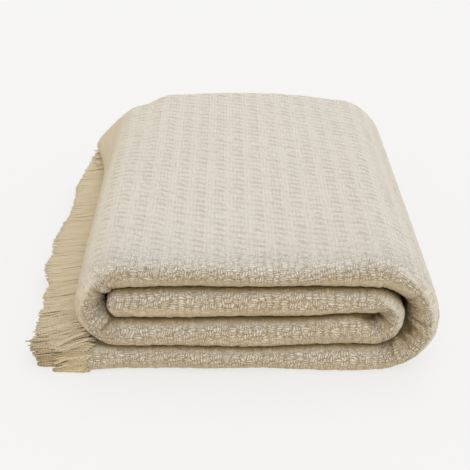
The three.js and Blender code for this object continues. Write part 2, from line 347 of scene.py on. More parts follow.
def foldShade(s, t):
    turn = noseTurn(t)
    up = route.read(route.out, s)[1]
    unfolded = span(s, [outerAt + past for past in folds["openFrom"]], (thirdAt - folds["openTo"], thirdAt))
    inside = 1 - smooth(0, blend(folds["inner"], np.clip(-up, 0, 1)), turn)
    inside = inside * blend((folds["leftLight"], 1), smooth(*folds["leftReach"], s))
    outside = smooth(blend(folds["outer"], np.clip(up, 0, 1)), 1, turn) * (1 - unfolded)
    crease = folds["crease"] * creaseDepth(s, t) * (t < faceAt)
    return np.clip(inside + outside + smooth(foldAt, hiddenAt, t) + crease, 0, 1)


# How far a place on a nose faces up or, on a bend, out of the pile
def noseFacing(s, t):
    outX, outZ = route.read(route.out, s)
    out = np.where(outZ < 0, 1 - 2 * outZ ** 6, outZ + np.abs(outX))  # turns over only under the pile
    return np.sin(np.pi * (noseTurn(t) - 0.5)) * out


# Loose yarn on the upper front of a nose, by how far that faces up; its slubs carry a painted highlight on
# their crowns and painted shade in their gaps
looseYarn = {
    "comesIn": (-0.3, 0.2), "goesFrom": (0.5, 0.25), "goesTo": (1.0, 0.7),  # goes: level nose, bend
    "under": 0.35, "lowUnder": 0.15, "leftUnder": 0.4,  # share below: low noses and the left bend have more
    "lowEnds": (40, 30),  # lengths over which the low noses end, at the outer bend and at the inner one
    "face": 25,  # it goes out over this length of the face
    "edge": 0.12, "topEdge": 0.4, "topReach": 45, "edgeFrom": 0.5,  # some past the nose
}


def looseShare(s, t):
    look = looseYarn
    facing = noseFacing(s, t)
    over = np.clip(t - faceAt, 0, None)
    outerEnd, innerEnd = look["lowEnds"]
    low = 1 - smooth(outerAt, outerAt + outerEnd, s)
    low = low + span(s, (thirdAt - innerEnd, thirdAt), (innerAt, innerAt + innerEnd))
    outX, outZ = route.read(route.out, s)
    sideways = np.abs(outX)
    under = look["under"] + look["lowUnder"] * low + look["leftUnder"] * np.clip(-outX, 0, 1)
    nose = under + (1 - under) * smooth(*look["comesIn"], facing)
    nose = nose * (1 - smooth(blend(look["goesFrom"], sideways), blend(look["goesTo"], sideways), facing))
    edge = look["edge"] + look["topEdge"] * np.clip(outZ, 0, 1) * np.exp(-over / look["topReach"])
    return nose * (1 - smooth(0, look["face"], over)) + edge * smooth(look["edgeFrom"], 1, facing)


# Close weave, with its paler colour, on the top and the outer faces and where a nose faces up; the darker
# tan left where it faces down, and on the left side, is painted shade. Pairs are for a level nose and a
# bend, or for front and back
closeWeave = {
    "comesFrom": (0.3, 0.2), "comesTo": (0.95, 0.65),
    "face": 25,  # length of the face over which it comes in
    "sideFrom": (0.8, 0.5), "sideTo": (1.0, 0.9), "backFrom": (300, 480),
    "leftSideShade": 0.7,  # painted shade: the left side is plainer and a darker tan, more so at the back
}


def closeWeaveAndShade(s, t):
    look = closeWeave
    face = smooth(faceAt, faceAt + look["face"], t)
    outX = route.read(route.out, s)[0]
    sideways = np.abs(outX)
    back = smooth(*look["backFrom"], section.read(section.points, t)[1])
    side = smooth(blend(look["sideFrom"], back), blend(look["sideTo"], back), -outX)
    nose = smooth(blend(look["comesFrom"], sideways), blend(look["comesTo"], sideways), noseFacing(s, t))
    return (face + (1 - face) * nose) * (1 - look["leftSideShade"] * side)


# Points of the cloth at lengths along the route and the section, on one of its sides
def clothPoints(s, t, side):
    form = clothForm
    routeX, routeZ = route.read(route.points, s)
    outX, outZ = route.read(route.out, s)
    offset, depth = section.read(section.points, t)
    outOffset, outDepth = section.read(section.out, t)
    half = pile["ply"] / 2
    edge = np.minimum(t, section.length[-1] - t) / half
    half = half * np.sqrt(1 - (1 - np.clip(edge, form["edgeLeast"], 1)) ** 2)
    across, along = route.read(routeWeave, s), section.read(sectionWeave, t)
    lump = lumps(across / weave["lumpSize"], along / weave["lumpSize"])
    rise = weaveRise(across, along) * shownRelief(s, t) + weave["lump"] * lump * noseCrown(t)
    trough = creaseDepth(s, t)
    reach = half + rise - trough if side > 0 else -half - form["backTrough"] * trough
    offset = offset + outOffset * reach
    depth = depth + outDepth * reach
    share = np.clip((s - route.length[-1]) / pile["tuckRound"] + 1, 0, 1)
    thick = np.sqrt(1 - (1 - pile["tuckLeast"] ** 2) * share ** 2)
    thick = thick * (1 - form["pinch"] * np.exp(-depth / form["pinchReach"]))
    whole = 1 + form["recessFrom"]
    inner = np.clip(form["recessFrom"] - offset / layerHalf, 0, whole) / whole
    inner = inner ** form["recessPower"] * np.exp(-depth / form["recessReach"])
    depth = depth + recessed(s, "deep") * inner
    depth = depth + (1 - thick) * layerHalf * (1 - depth / pile["depth"])
    points = np.stack([routeX + outX * offset * thick, depth, routeZ + outZ * offset * thick], 1)
    points = settle(points)
    points[:, 2] = np.maximum(points[:, 2], form["floorGap"])
    return points


grid = {
    "perRib": 16, "perRung": 4.4,  # fine cells to a rib and to a rung
    "wide": 8, "tall": 28,  # fine cells in a hidden cell, along the route and along the section
    "edge": 4, "behind": 60,  # bands along the selvedges and behind the nose, in millimetres
    "showPast": 8,  # the outer face is fine from here on the outer bend
}


# Lines of the cloth's own grid: along the route by the weave's length, along the section by its folds
def gridLines():
    step = weave["rib"] / grid["perRib"]
    count = grid["wide"] * round(routeWeave[-1] / step / grid["wide"])
    sLines = np.interp(np.linspace(0, routeWeave[-1], count + 1), routeWeave, route.length)
    at = section.at
    faceRows = (foldAt - faceAt) / (weave["rung"] / grid["perRung"])
    faceRows = grid["tall"] * round(faceRows / grid["tall"])
    bands = {  # start of each band, and its rows
        "edge": (0, 4), "inFace": (grid["edge"], 6), "behind": (noseAt - grid["behind"], 16),
        "nose": (noseAt, 22), "outFace": (faceAt, faceRows), "backFold": (foldAt, 8),
        "outPly": (hiddenAt, 4), "innerNose": (at["innerNose"], 6), "inPly": (at["inPly"], 4),
        "lastEdge": (at["end"] - grid["edge"], 4),
    }
    starts, counts = zip(*bands.values())
    stretches = zip(starts, [*starts[1:], at["end"]], counts)
    tLines = np.concatenate([[0]] + [np.linspace(low, high, rows + 1)[1:] for low, high, rows in stretches])
    return sLines, tLines, dict(zip([*bands, "end"], np.cumsum([0, *counts])))


def lineAt(lines, value, step):
    return int(step * round(np.searchsorted(lines, value) / step))


# Blocks of the grid, each with its own steps: fine where the weave shows, wide where it is hidden
def faceBlocks(sLines, rowAt):
    wide, tall = grid["wide"], grid["tall"] // 2
    last = len(sLines) - 1
    showFrom = lineAt(sLines, outerAt + grid["showPast"], wide)
    showTo = lineAt(sLines, thirdAt, wide)
    bands = [  # first band, the band after the last, and the step along the route
        ("edge", "behind", 4), ("behind", "nose", 2), ("nose", "outFace", 1),
        ("backFold", "outPly", 2), ("outPly", "end", wide),
    ]
    blocks = [(0, last, step, rowAt[low], rowAt[high], 1) for low, high, step in bands]
    stretches = [(0, showFrom, wide, tall), (showFrom, showTo, 2, 1), (showTo, last, wide, tall)]
    for low, high, sStep, tStep in stretches:
        blocks.append((low, high, sStep, rowAt["outFace"], rowAt["backFold"], tStep))
    return blocks


def backBlocks(sLines, rowAt):
    last = len(sLines) - 1
    steps = {"behind": 4, "nose": 2, "outFace": grid["tall"], "backFold": 2}
    names = list(rowAt)
    return [(0, last, grid["wide"], rowAt[low], rowAt[high], steps.get(low, 1))
            for low, high in zip(names[:-1], names[1:])]


# Faces of one side of the cloth; a wide cell takes in every point that a finer neighbour has on its rim
def sideFaces(blocks, shape, start, flip):
    used = np.zeros(shape, bool)
    for low, high, sStep, first, last, tStep in blocks:
        used[low:high + 1:sStep, first:last + 1:tStep] = True
    index = np.full(shape, -1)
    index[used] = start + np.arange(used.sum())
    faces = []
    for low, high, sStep, first, last, tStep in blocks:
        for i in range(low, high, sStep):
            for j in range(first, last, tStep):
                rim = np.concatenate([
                    index[i, j:j + tStep], index[i:i + sStep, j + tStep],
                    index[i + sStep, j + tStep:j:-1], index[i + sStep:i:-1, j],
                ])
                rim = rim[rim >= 0].tolist()
                faces.append(rim[::-1] if flip else rim)
    return index, faces


# The free edges and the two ends, between the sides
def rimFaces(face, back):
    def strip(outer, inner, flip):
        stops = np.flatnonzero(inner >= 0)
        made = []
        for low, high in zip(stops[:-1], stops[1:]):
            ring = outer[low:high + 1]
            ring = ring[ring >= 0].tolist() + [int(inner[high]), int(inner[low])]
            made.append(ring[::-1] if flip else ring)
        return made

    return (strip(face[0], back[0], True) + strip(face[-1], back[-1], False)
            + strip(face[:, 0], back[:, 0], False) + strip(face[:, -1], back[:, -1], True))


def newPiece(name, points, faces, material, attributes=None):
    mesh = bpy.data.meshes.new(name)
    mesh.from_pydata(points.tolist(), [], faces)
    mesh.polygons.foreach_set("use_smooth", np.ones(len(faces), bool))
    for key, values in (attributes or {}).items():
        mesh.attributes.new(key, "FLOAT_VECTOR", "POINT").data.foreach_set("vector", values.ravel())
    mesh.materials.append(material)
    mesh.update()
    piece = bpy.data.objects.new(name, mesh)
    bpy.context.scene.collection.objects.link(piece)
    return piece


def triangleCount(faces):
    return sum(len(ring) - 2 for ring in faces)


def makeCloth(material):
    sLines, tLines, rowAt = gridLines()
    shape = (len(sLines), len(tLines))
    face, faces = sideFaces(faceBlocks(sLines, rowAt), shape, 0, False)
    back, others = sideFaces(backBlocks(sLines, rowAt), shape, face.max() + 1, True)
    points, places, lays = [], [], []
    for index, side in ((face, 1), (back, -1)):
        i, j = np.nonzero(index >= 0)
        s, t = sLines[i], tLines[j]
        points.append(clothPoints(s, t, side))
        across, along = route.read(routeWeave, s), section.read(sectionWeave, t)
        places.append(np.stack([across, along, closeWeaveAndShade(s, t)], 1))
        # lay: painted shade in the folds, the share of loose yarn, and painted shade on the drawn-in inner
        # bends
        lays.append(np.stack([foldShade(s, t), looseShare(s, t), innerBend(s, t)], 1))
    faces = faces + others + rimFaces(face, back)
    attributes = {"weave": np.concatenate(places), "lay": np.concatenate(lays)}
    piece = newPiece("throwCloth", toPart(np.concatenate(points)), faces, material, attributes)
    print("cloth:", len(faces), "faces,", triangleCount(faces), "triangles")
    return piece


fringeLook = {
    "seam": 0.3, "heading": 7, "headingSteps": 24, "headingTone": 0.1,
    "radius": 1.15, "sizes": (0.85, 1.15), "sides": 5, "steps": 10, "seed": 11,
    "rootShare": 0.2, "taper": 0.45,  # a strand is slim over this share at its root, and thins at its tip
    "tipLeast": 1.3, "floorGap": 0.1,
    "reach": [  # depth, strand length: the ends lie in uneven scallops
        (0, 56), (10, 58), (32, 68), (48, 63), (76, 66), (92, 64), (100, 67), (118, 62), (150, 68),
        (186, 64), (220, 76), (240, 78), (268, 73), (314, 77), (372, 71), (404, 63), (466, 57), (518, 54),
        (545, 45), (562, 40), (604, 30),
    ],
    "plies": {
        "rows": [  # height at the root and at the tip, strands, share of reach
            (4, 1.4, 190, 0.87), (13, 10, 180, 0.91), (22, 19, 260, 0.99), (33.5, 28, 620, 1.0),
        ],
        "spots": (0.1, 0.9), "endGap": 3, "inset": 2, "lift": 1.5,  # how unevenly they are rooted
        "slant": (14, 4), "slantFade": (60, 300), "slantFrom": 50,  # tips lie ahead, less so at the back
        "backRise": 28, "backInset": 0.8, "backShort": 0.9,  # at the back they climb to the bend over them
        "frontRise": 3, "frontFade": (40, 90),
        "lowBack": 12, "lowFade": (20, 60), "lowRows": 2,  # on the floor the front tips lie further back
        "liftReach": 0.012, "liftTip": 0.5,
        "short": 0.34, "shortUneven": 0.05, "shortFade": (48, 68),  # top strands beside the nose's bundle
    },
    "corner": {  # fill of the front corner
        "count": 310, "row": 2, "start": -4, "depth": 46, "heights": (3, 35), "droop": 6,
        "clear": 28, "reach": 0.82, "reachRise": 0.007, "uneven": 0.1,
    },
    "back": {  # fill of the back corner
        "count": 170, "row": 5, "from": 510, "endGap": 4, "inset": 6, "heights": (24, 73), "droop": 2,
        "reach": (24, 7), "reachPower": 0.6,
    },
    "nose": {  # bundle round the nose
        "count": 150, "row": 4, "turn": 84, "spots": (-0.4, 2.0), "drop": 15, "dropHeight": 40,
        "inset": (-4, 6), "spread": 5, "tipDepth": 12, "tipShare": 0.3, "tipSpread": 5,
        "reach": 0.58, "uneven": 0.07,
    },
    "wedge": {  # fill under the left bend
        "count": 90, "row": 3, "depths": (5, 100), "inset": (0, 13), "gap": 1, "fill": 0.85, "fade": 12,
        "tip": 30, "reach": 0.6, "uneven": 0.1,
    },
}

# Strands lie together in locks that share their waves and tone, flat in the rows and upright in the bundle
locks = {
    "width": 5.6, "stagger": 0.37, "fade": (60, 280), "loosened": 0.85,  # looser towards the back
    "ends": 0.03, "end": 0.012,  # uneven lengths, of a lock and of a strand
    "drop": 0.1, "pullFrom": 0.05, "sway": 0.4, "turns": (3, 7), "phase": 6,
    "ripple": 0.6, "ripples": (5, 9), "hang": 0.7,  # a strand's own waves, and how the sides of a lock hang
    # Tone of a lock by chance, and painted shade at its edges
    "tone": 0.4, "lockEdgeShade": 0.14, "looseTone": 0.2,
    "frontShade": (0.585, 0.225), "frontFade": (10, 140),  # painted shade towards the front: lower rows, then the top one and the bundle
    # Painted light towards the back
    "backPaintedLight": -0.3, "backFade": (320, 600),
    "flat": {"pull": 0.25, "sway": 1.6, "tone": 0.2, "toneFrom": 0, "start": 0, "slim": 0.5},
    "bundle": {
        "pull": 0.35, "sway": 0.8, "tone": 0.9, "toneFrom": -0.35, "start": 14, "slim": 0.1,
        "perHeight": 2.2, "dropPower": 1.2,
    },
}
topRow = len(fringeLook["plies"]["rows"]) - 1


class Strand:
    # one strand: its root at the heading, its tip, the row whose waves and tone it has, and its lock
    def __init__(self, root, out, tipDepth, tip, row):
        self.root, self.tip, self.row = root, (hem - out, tipDepth, tip), row
        self.bundled = row == fringeLook["nose"]["row"]
        self.manner = locks["bundle" if self.bundled else "flat"]
        spot = self.manner["perHeight"] * root[2] if self.bundled else root[1]
        place = spot / locks["width"] + locks["stagger"] * row
        self.lock = np.floor(place)
        self.fromLock = 2 * (place - self.lock) - 1
        self.locked = 1 - locks["loosened"] * smooth(*locks["fade"], root[1])

    def path(self, share, random):
        (x, depth, height), (tipX, tipDepth, tip) = self.root, self.tip
        lock, fromLock, locked, manner = self.lock, self.fromLock, self.locked, self.manner
        ends = 1 + locks["ends"] * (hashed(lock, 4) - 0.5) * locked
        ends = ends + random.uniform(-locks["end"], locks["end"])
        drop = smooth(0, 1 + random.uniform(-locks["drop"], locks["drop"]), share)
        if self.bundled:
            drop = share ** manner["dropPower"]
        pull = -manner["pull"] * locks["width"] * fromLock * locked
        turns = blend(locks["turns"], hashed(lock, 2))
        wave = np.sin(share * turns + locks["phase"] * hashed(lock, 3)) * share
        sway = wave * (locks["sway"] + manner["sway"] * hashed(lock, 1) * locked)
        sway = sway + pull * smooth(locks["pullFrom"], 1, share)
        ripple = np.sin(share * random.uniform(*locks["ripples"]) + random.uniform(0, locks["phase"]))
        lift = locks["ripple"] * ripple * share - locks["hang"] * locked * fromLock ** 2 * share
        return np.stack([
            x + (tipX - x) * ends * share,
            depth + (tipDepth - depth) * share + sway * (not self.bundled),
            height + (tip - height) * drop + lift + sway * self.bundled,
        ], 1)

    # how dark it is: by its lock and by chance, with painted shade at a lock's edges and towards the front,
    # and painted light towards the back
    def tone(self, random):
        depth = self.root[1]
        ofLock = locks["tone"] * hashed(self.lock, self.row + 5) + locks["lockEdgeShade"] * self.fromLock ** 4
        tone = ofLock * self.locked + locks["looseTone"] * (1 - self.locked)
        tone += self.manner["tone"] * random.uniform() + self.manner["toneFrom"]
        front = locks["frontShade"][self.bundled or self.row == topRow]
        tone += front * (1 - smooth(*locks["frontFade"], depth))
        return tone + locks["backPaintedLight"] * smooth(*locks["backFade"], depth)

    def radius(self, share, random):
        slim = self.manner["slim"]
        thin = 1 - slim + slim * smooth(0, fringeLook["rootShare"], share)
        thin = thin * (1 - fringeLook["taper"] * share ** 4)
        return fringeLook["radius"] * random.uniform(*fringeLook["sizes"]) * thin


def reachAt(depth):
    depths, reaches = np.array(fringeLook["reach"], float).T
    return np.interp(depth, depths, reaches)


# Rows of strands from the four plies
def plyStrands(random):
    look = fringeLook["plies"]
    length = selvedge - layerHalf - look["endGap"]
    for row, (height, tip, count, share) in enumerate(look["rows"]):
        onTop = row == topRow
        spots = np.arange(count) + random.uniform(*look["spots"], count)
        for depth in layerHalf + length * spots / count:
            rise = look["backRise"] * smooth(fringeLook["back"]["from"], selvedge, depth) * row / topRow
            x = hem + random.uniform(0, look["inset"]) + look["backInset"] * rise * onTop
            lift = random.uniform(-look["lift"], look["lift"])
            lift += look["frontRise"] * (1 - smooth(*look["frontFade"], depth)) * onTop
            slant = blend(look["slant"], smooth(*look["slantFade"], depth))
            tipDepth = depth - slant * smooth(0, look["slantFrom"], depth)
            tipDepth += look["lowBack"] * (1 - smooth(*look["lowFade"], depth)) * (row < look["lowRows"])
            out = share * reachAt(tipDepth) * (1 + look["liftReach"] * lift) - look["backShort"] * rise
            if onTop:
                short = look["short"] + random.uniform(-look["shortUneven"], look["shortUneven"])
                out *= 1 - short * (1 - smooth(*look["shortFade"], depth))
            tipHeight = tip + look["liftTip"] * lift + rise
            yield Strand((x, depth, height + lift + rise), out, tipDepth, tipHeight, row)


def cornerStrands(random):
    look = fringeLook["corner"]
    for index in range(look["count"]):
        depth = layerHalf + look["start"] + random.uniform(0, look["depth"])
        height = random.uniform(*look["heights"])
        tip = max(fringeLook["tipLeast"], height - look["droop"])
        tipDepth = max(depth, look["clear"] - tip / 2)
        share = look["reach"] + look["reachRise"] * height - random.uniform(0, look["uneven"])
        yield Strand((hem, depth, height), reachAt(tipDepth) * share, tipDepth, tip, look["row"])


def backStrands(random):
    look = fringeLook["back"]
    for index in range(look["count"]):
        depth = random.uniform(look["from"], selvedge - look["endGap"])
        climb = random.uniform() * smooth(look["from"], selvedge, depth)
        height = blend(look["heights"], climb)
        out = blend(look["reach"], climb ** look["reachPower"])
        yield Strand((hem + look["inset"], depth, height), out, depth, height - look["droop"], look["row"])


def noseStrands(random):
    look = fringeLook["nose"]
    low, high = look["inset"]
    for turn in np.linspace(-look["turn"], look["turn"], look["count"]):
        angle = math.radians(turn + random.uniform(-1, 1))
        spot = layerHalf + random.uniform(*look["spots"])
        depth = layerHalf - spot * math.cos(angle)
        height = layerHalf + spot * math.sin(angle)
        drop = look["drop"] * math.sin(math.pi * max(0, height) / look["dropHeight"])
        tip = max(fringeLook["tipLeast"], height - drop)
        x = hem + random.uniform(low, high + look["spread"] * max(0, math.sin(angle)))
        tipDepth = look["tipDepth"] + look["tipShare"] * depth + random.uniform(0, look["tipSpread"])
        share = look["reach"] + random.uniform(-look["uneven"], look["uneven"])
        yield Strand((x, depth, height), reachAt(tipDepth) * share, tipDepth, tip, look["row"])


# These stand between the bottom layer and the underside of the left bend, lower towards the back
def wedgeStrands(random):
    look = fringeLook["wedge"]
    bendMiddle = (pile["top"] + pile["third"]) / 2
    bendHalf = (pile["top"] - pile["third"]) / 2 + layerHalf
    for index in range(look["count"]):
        depth = random.uniform(*look["depths"])
        x = hem + random.uniform(*look["inset"])
        roof = bendMiddle - bendHalf * math.sqrt(1 - (1 - x / leftX) ** 2)
        headroom = look["fill"] * max(0, roof - 2 * layerHalf - look["gap"])
        headroom *= 1 - smooth(look["fade"], look["depths"][1], depth)
        height = 2 * layerHalf + random.uniform() * headroom
        share = look["reach"] + random.uniform(-look["uneven"], look["uneven"])
        yield Strand((x, depth, height), reachAt(depth) * share, depth, look["tip"], look["row"])


def strandTube(path, radius, sides):
    way = np.gradient(path, axis=0)
    way /= np.linalg.norm(way, axis=1, keepdims=True)
    side = np.cross(way, (0, 0, 1))
    side /= np.linalg.norm(side, axis=1, keepdims=True)
    up = np.cross(side, way)
    turn = np.arange(sides) * 2 * np.pi / sides
    ring = side[:, None] * np.cos(turn)[None, :, None] + up[:, None] * np.sin(turn)[None, :, None]
    return path[:, None] + ring * radius[:, None, None]


# Faces between rings of points that follow each other
def ringFaces(rings, size, start):
    faces = []
    for here in range(start, start + (rings - 1) * size, size):
        for spot in range(size):
            after = (spot + 1) % size
            faces.append((here + spot, here + after, here + size + after, here + size + spot))
    return faces


def tubeFaces(steps, sides, start):
    first, last = range(start, start + sides), range(start + (steps - 1) * sides, start + steps * sides)
    return ringFaces(steps, sides, start) + [tuple(first)[::-1], tuple(last)]


# The woven heading that holds the strands: the section's outline over a short width
def headingBand(start):
    look = fringeLook
    stops = list(section.at.values())
    parts = [np.linspace(low, high, look["headingSteps"])[:-1] for low, high in zip(stops[:-1], stops[1:])]
    tLines = np.append(np.concatenate(parts), stops[-1])
    offset, depth = section.read(section.points, tLines)
    outOffset, outDepth = section.read(section.out, tLines)
    half = pile["ply"] / 2
    ring = np.concatenate([
        np.stack([depth + outDepth * half, layerHalf - offset - outOffset * half], 1),
        np.stack([depth - outDepth * half, layerHalf - offset + outOffset * half], 1)[::-1],
    ])
    right = hem - look["seam"]
    ends = [right - look["heading"], right - 0.5 * look["heading"], right]
    points = np.concatenate([np.column_stack([np.full(len(ring), x), ring]) for x in ends])
    size = len(ring)
    faces = ringFaces(len(ends), size, start)
    last = start + (len(ends) - 1) * size
    for corner in range(size // 2 - 1):
        far = size - 1 - corner
        faces.append((start + corner, start + far, start + far - 1, start + corner + 1))
        faces.append((last + corner, last + corner + 1, last + far - 1, last + far))
    places = np.column_stack([points[:, 1], points[:, 2], np.full(len(points), look["headingTone"])])
    return points, places, faces


def makeFringe(material):
    look = fringeLook
    random = np.random.default_rng(look["seed"])
    strands = []
    for fill in (plyStrands, cornerStrands, backStrands, noseStrands, wedgeStrands):
        strands += fill(random)
    share = np.linspace(0, 1, look["steps"])
    turn = np.arange(look["sides"]) / look["sides"]
    points, places, faces = [], [], []
    start = 0
    for one in strands:
        path = one.path(share, random)
        tone = one.tone(random)
        radius = one.radius(share, random)
        path[:, 2] = np.maximum(path[:, 2], radius + look["floorGap"])
        tube = strandTube(path, radius, look["sides"]).reshape(-1, 3)
        length = (one.root[0] - one.tip[0]) * share + one.manner["start"]
        spot = np.stack(np.broadcast_arrays(length[:, None], turn[None], tone), 2)
        points.append(tube)
        places.append(spot.reshape(-1, 3))
        faces += tubeFaces(look["steps"], look["sides"], start)
        start += len(tube)
    band, bandPlaces, bandFaces = headingBand(start)
    points = settle(np.concatenate([*points, band]))
    places = np.concatenate([*places, bandPlaces])
    faces += bandFaces
    piece = newPiece("throwFringe", toPart(points), faces, material, {"weave": places})
    print("fringe:", len(strands), "strands,", triangleCount(faces), "triangles")
    return piece


class Wire:
    # a socket whose maths is written with operators; node() adds any other node
    def __init__(self, tree, socket=None):
        self.tree = tree
        self.socket = socket

    def node(self, kind, settings=None, sockets=None, out=0):
        made = self.tree.nodes.new(kind)
        for name, value in (settings or {}).items():
            setattr(made, name, value)
        for name, value in (sockets or {}).items():
            if isinstance(value, Wire):
                self.tree.links.new(value.socket, made.inputs[name])
            else:
                made.inputs[name].default_value = value
        return Wire(self.tree, made.outputs[out]) if len(made.outputs) else made

    def output(self, name):
        return Wire(self.tree, self.socket.node.outputs[name])

    def math(self, operation, *values):
        return self.node("ShaderNodeMath", {"operation": operation}, dict(enumerate(values)))

    def __add__(self, other):
        return self.math("ADD", self, other)

    def __sub__(self, other):
        return self.math("SUBTRACT", self, other)

    def __rsub__(self, other):
        return self.math("SUBTRACT", other, self)

    def __mul__(self, other):
        return self.math("MULTIPLY", self, other)

    def __truediv__(self, other):
        return self.math("DIVIDE", self, other)

    def __rtruediv__(self, other):
        return self.math("DIVIDE", other, self)

    __radd__ = __add__
    __rmul__ = __mul__

    def floor(self):
        return self.math("FLOOR", self)

    def fraction(self):
        return self.math("FRACT", self)

    def size(self):
        return self.math("ABSOLUTE", self)

    def wave(self, ahead=0.0):
        return self.math("SINE", (self + ahead) * (2 * math.pi))

    def between(self, low=0.0, high=1.0):
        settings = {"interpolation_type": "SMOOTHSTEP"}
        return self.node("ShaderNodeMapRange", settings, {"Value": self, "From Min": low, "From Max": high})

    def vector(self, x, y, z):
        return self.node("ShaderNodeCombineXYZ", None, {"X": x, "Y": y, "Z": z})

    def noise(self, place, scale, detail=2.0):
        return self.node("ShaderNodeTexNoise", None, {"Vector": place, "Scale": scale, "Detail": detail})

    # a chance value for each pair of whole numbers
    def chance(self, first, second):
        place = self.vector(first + 0.5, second + 0.5, 0.0)
        return self.node("ShaderNodeTexWhiteNoise", {"noise_dimensions": "2D"}, {"Vector": place})

    def mixed(self, factor, first, second):
        return self.node("ShaderNodeMix", {"data_type": "RGBA"}, {0: factor, 6: first, 7: second}, out=2)

    # the three parts of a mesh attribute
    def attribute(self, name):
        place = self.node("ShaderNodeAttribute", {"attribute_name": name}, out="Vector")
        first = self.node("ShaderNodeSeparateXYZ", None, {"Vector": place})
        return first, first.output("Y"), first.output("Z")

    def bump(self, height, strength, distance):
        sockets = {"Strength": strength, "Distance": distance, "Height": height}
        return self.node("ShaderNodeBump", None, sockets)


def newMaterial(name):
    material = bpy.data.materials.new(name)
    material.use_nodes = True
    material.node_tree.nodes.clear()
    return material, Wire(material.node_tree)


def finishMaterial(wire, settings):
    shader = wire.node("ShaderNodeBsdfPrincipled", None, settings, out="BSDF")
    wire.node("ShaderNodeOutputMaterial", None, {"Surface": shader})
    print("material:", len(wire.tree.nodes), "nodes")


# What cloth and fringe share: dry, soft cotton
cotton = {"Roughness": 0.95, "Sheen Roughness": 0.6, "Specular IOR Level": 0.15}

clothLook = {
    "cream": (0.798, 0.769, 0.708, 1), "hollowShade": (0.62, 0.58, 0.51, 1),  # close weave's crests, and painted shade in its hollows
    "tan": (0.6, 0.505, 0.345, 1), "speck": (0.24, 0.18, 0.105, 1),  # loose yarn's ground, and painted shade in its gaps
    "fold": (0.36, 0.27, 0.125, 1), "crown": (0.9, 0.87, 0.82, 1),  # painted shade in the folds, and painted highlight on the slubs
    "patterns": {  # waves to a millimetre across and along, and detail
        "wander": (0.06, 0.06, 2.0), "jolt": (0.3, 0.3, 2.0), "fibre": (1.2, 1.2, 4.0),
        "blotch": (0.2, 0.2, 3.0), "grain": (0.45, 0.054, 2.0), "thread": (0.05, 0.5, 2.0),
        "pit": (0.26, 0.26, 3.0), "streak": (0.3, 0.06, 2.0),
    },
    "ribJolt": 3, "ribEdge": 0.1,  # how far the ribs wander in millimetres, and how soft their edges are
    "rungJolt": 0.5, "dashFrom": 0.45, "dashLeast": 0.3, "ribCover": 0.85,  # dashes between the rungs
    "cord": 0.11, "cordJolt": 0.6, "cordLeast": 0.85,  # fine cords along the ribs, waves to a millimetre
    "slub": (9.0, 7.0), "yarn": 2.9,  # a slub of loose yarn, and one yarn's width
    "slubWander": 1.8, "slubBend": 1.6, "upright": 0.45, "slubLeast": 0.3,
    "looseTo": 0.85, "crownShare": 0.8, "gapShare": 0.8,
    "bump": 1.0, "depth": 1.7, "sheen": 0.15,
}


# Close weave: upright ribs, and columns of slanting rungs with dashes between them; the value is a colour
# tone, darker in the dashes where the rungs' relief is low and between the fine cords: painted shade
def weaveCrest(wire, across, along, look, jolt, wander):
    turn = (across + jolt * look["ribJolt"]) / weave["rib"]
    column = turn.floor()
    share = turn - column
    half = weave["ribShare"] / 2
    fromRib = ((share + (0.5 - half)).fraction() - 0.5).size()
    rib = 1 - fromRib.between(half - look["ribEdge"], half + look["ribEdge"])
    inRung = (share - weave["ribShare"]) / (1 - weave["ribShare"])
    rungTurn = along / weave["rung"] + column * weave["shift"] + inRung * weave["lean"]
    rungTurn = rungTurn + jolt * look["rungJolt"] + wander
    tone = wire.chance(column, (rungTurn + 0.5).floor())
    dash = (rungTurn.wave(0.25) * 0.5 + 0.5).between(look["dashFrom"], 1.0)
    dash = dash * (look["dashLeast"] + (1 - look["dashLeast"]) * tone)
    dash = dash * (1 - rib * look["ribCover"]) * (1.2 - inRung * 0.6)  # fades towards its upper end
    cord = (across * look["cord"] + jolt * look["cordJolt"]).wave().size()
    cord = cord * (look["cordLeast"] + (1 - look["cordLeast"]) * rib)
    return 0.47 + cord * 0.24 - dash


# Short slubs of yarn lying this way and that: their rounded height, and a value for each
def yarnSlubs(wire, across, along, look, wobble):
    column = across / look["slub"][0] + wobble
    row = along / look["slub"][1] - wobble + (column.floor() * 0.5).fraction()
    cellX, cellY = column.floor(), row.floor()
    chance = wire.chance(cellX, cellY)
    upright = wire.math("GREATER_THAN", chance, look["upright"])
    beside = (along + upright * (across - along)) / look["yarn"] + wobble * look["slubBend"] + chance
    run = (column - cellX) + upright * ((row - cellY) - (column - cellX))
    hump = 0.25 + 3.0 * run * (1 - run)
    tone = wire.chance(beside.floor() + cellX * 17, cellY * 31) * 0.6 + wire.chance(cellY, cellX) * 0.4
    yarn = look["slubLeast"] + (1 - look["slubLeast"]) * (beside * 0.5).wave().size()
    return yarn * hump, tone
